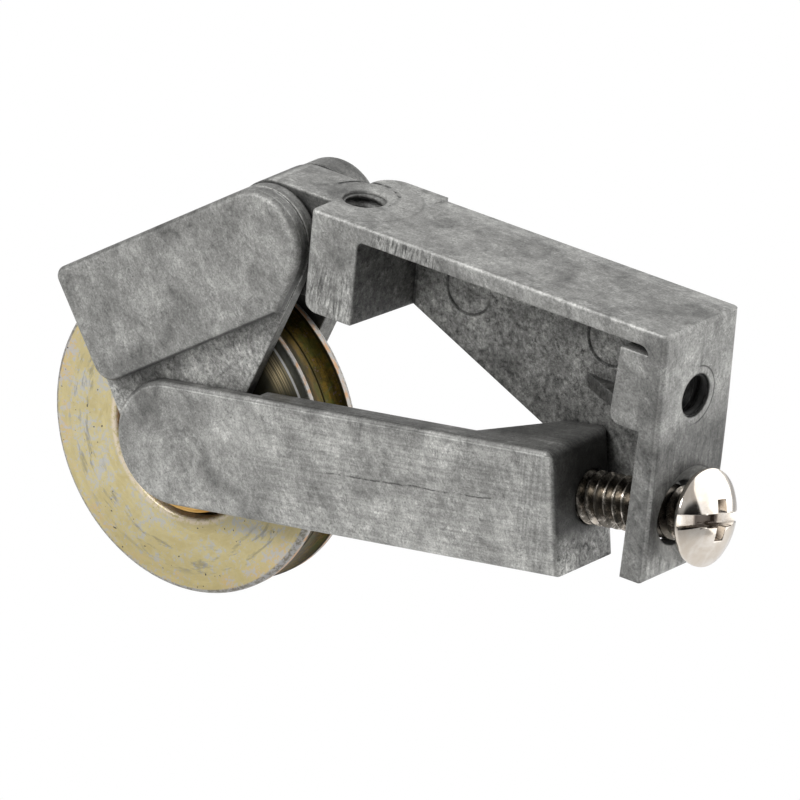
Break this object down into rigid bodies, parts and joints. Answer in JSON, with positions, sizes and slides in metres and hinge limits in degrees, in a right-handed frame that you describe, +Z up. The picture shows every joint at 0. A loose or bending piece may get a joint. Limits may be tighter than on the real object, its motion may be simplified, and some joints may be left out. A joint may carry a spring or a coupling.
{
  "type": "sliding door roller",
  "caption": "Adjustable sliding door roller: die-cast housing, swinging fork with a ball-bearing grooved wheel, link and adjusting screw.",
  "frame": {"origin": "mouth of the tapped hole in the top face of the housing", "axes": "+X along the housing towards the end wall with the screw, +Y towards the closed back, +Z up out of the tapped hole; the wheel hangs below"},
  "size_m": [0.0915, 0.0162, 0.0533],
  "materials": {
    "zinc_housing": "dull mottled zinc casting",
    "zinc_fork": "dull mottled zinc casting",
    "zinc_link": "dull zinc casting with brushed marks",
    "screw_nickel": "polished warm nickel",
    "pin_steel": "plain steel",
    "wheel_plated": "worn yellow zinc plating",
    "race_gold": "yellow plated steel",
    "ball_steel": "polished steel"
  },
  "bodies": {
    "housing": {"housing": "zinc_housing"},
    "fork": {"swing_arm": "zinc_fork", "pivot_pin": "pin_steel"},
    "link": {"adjusting_link": "zinc_link", "wheel_axle": "pin_steel", "inner_race_front": "race_gold", "inner_race_back": "race_gold"},
    "wheel": {"wheel_front": "wheel_plated", "wheel_back": "wheel_plated"},
    "balls": {"ball_1": "ball_steel", "ball_2": "ball_steel", "ball_3": "ball_steel", "ball_4": "ball_steel", "ball_5": "ball_steel", "ball_6": "ball_steel", "ball_7": "ball_steel", "ball_8": "ball_steel", "ball_9": "ball_steel", "ball_10": "ball_steel", "ball_11": "ball_steel", "ball_12": "ball_steel"},
    "screw": {"adjusting_screw": "screw_nickel"}
  },
  "joints": [
    {"name": "fork_swing", "type": "hinge", "parent": "housing", "child": "fork", "pos_m": [-0.00945, 0.0005, -0.0063], "axis": [0, 1, 0], "range_deg": [-16, 3.2]},
    {"name": "link_swing", "type": "hinge", "parent": "fork", "child": "link", "pos_m": [-0.01972, 0.0005, -0.03428], "axis": [0, 1, 0], "range_deg": [-2.7, 13.2]},
    {"name": "wheel_spin", "type": "hinge", "parent": "link", "child": "wheel", "pos_m": [-0.01972, 0.0005, -0.03428], "axis": [0, 1, 0], "continuous": true},
    {"name": "ball_train_spin", "type": "hinge", "parent": "link", "child": "balls", "pos_m": [-0.01972, 0.0005, -0.03428], "axis": [0, 1, 0], "continuous": true},
    {"name": "screw_turn", "type": "hinge", "parent": "link", "child": "screw", "pos_m": [0.03954, 0.0005, -0.02488], "axis": [0.9877, 0, 0.1565], "continuous": true}
  ],
  "couplings": [
    {"joint": "link_swing", "follows": "fork_swing", "ratio": -0.815},
    {"joint": "ball_train_spin", "follows": "wheel_spin", "ratio": 0.6227}
  ]
}
